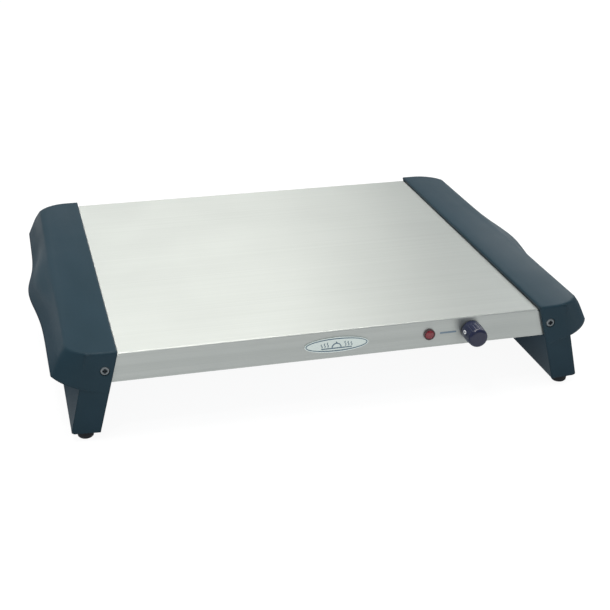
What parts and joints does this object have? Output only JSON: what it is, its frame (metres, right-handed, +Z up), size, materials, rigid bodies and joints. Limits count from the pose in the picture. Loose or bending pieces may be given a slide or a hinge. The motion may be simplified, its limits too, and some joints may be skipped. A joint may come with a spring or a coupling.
{
  "type": "electric buffet server",
  "caption": "Low electric warming tray with a brushed steel top, moulded end frames with hand grips, a pilot lamp and a turning thermostat knob.",
  "frame": {"origin": "on the resting surface under the centre of the whole object's box", "axes": "+X to the right as seen from the control side, +Y to the back, +Z up"},
  "size_m": [0.478, 0.382, 0.077],
  "materials": {
    "moulding": "satin, fine texture",
    "brushed_top": "brushed along the width",
    "galvanised": "galvanised",
    "screw_steel": "bright",
    "foot_rubber": "matt",
    "spreader": "mill",
    "mica": "satin",
    "ribbon": "dull",
    "blanket": "fibrous",
    "badge_metal": "satin",
    "badge_ink": "printed",
    "bezel": "gloss",
    "lens": "red, moulded",
    "neon_glass": "clear",
    "phenolic": "matt",
    "brass": "turned",
    "knob_plastic": "satin gloss",
    "marker_white": "printed",
    "gland_plastic": "satin",
    "lead_red": "insulation",
    "lead_blue": "insulation",
    "ground_green": "plated"
  },
  "bodies": {
    "chassis": {"left_end_frame": "moulding", "right_end_frame": "moulding", "front_left_foot": "foot_rubber", "front_right_foot": "foot_rubber", "rear_left_foot": "foot_rubber", "rear_right_foot": "foot_rubber", "foot_screws": "screw_steel", "frame_screws": "screw_steel", "frame_nuts": "galvanised", "top_panel": "brushed_top", "bottom_cover": "galvanised", "cover_screws": "screw_steel", "heat_spreader": "spreader", "upper_mica": "mica", "heating_element": "ribbon", "lower_mica": "mica", "insulation_blanket": "blanket", "retainer_plate": "galvanised", "clamp_studs": "screw_steel", "clamp_nuts": "galvanised", "thermal_fuse": "brass", "fuse_clip": "galvanised", "badge_plate": "badge_metal", "badge_emblem": "badge_ink", "lamp_bezel": "bezel", "lamp_lens": "lens", "lamp_clip": "galvanised", "neon_lamp": "neon_glass", "thermostat_body": "phenolic", "thermostat_bracket": "galvanised", "thermostat_bushing": "brass", "bushing_nut": "screw_steel", "bimetal_strip": "brass", "terminal_pins": "brass", "cord_gland": "gland_plastic", "gland_nut": "gland_plastic", "terminal_block": "phenolic", "terminal_screws": "brass", "ground_screw": "ground_green", "ground_lug": "brass", "live_lead": "lead_red", "neutral_lead": "lead_blue", "element_lead": "lead_red", "lamp_leads": "lead_red"},
    "control": {"thermostat_shaft": "screw_steel", "knob": "knob_plastic", "knob_marker": "marker_white"}
  },
  "joints": [
    {"name": "knob_turn", "type": "hinge", "parent": "chassis", "child": "control", "pos_m": [0.1175, -0.175, 0.0615], "axis": [0, 1, 0], "range_deg": [0, 270]}
  ]
}
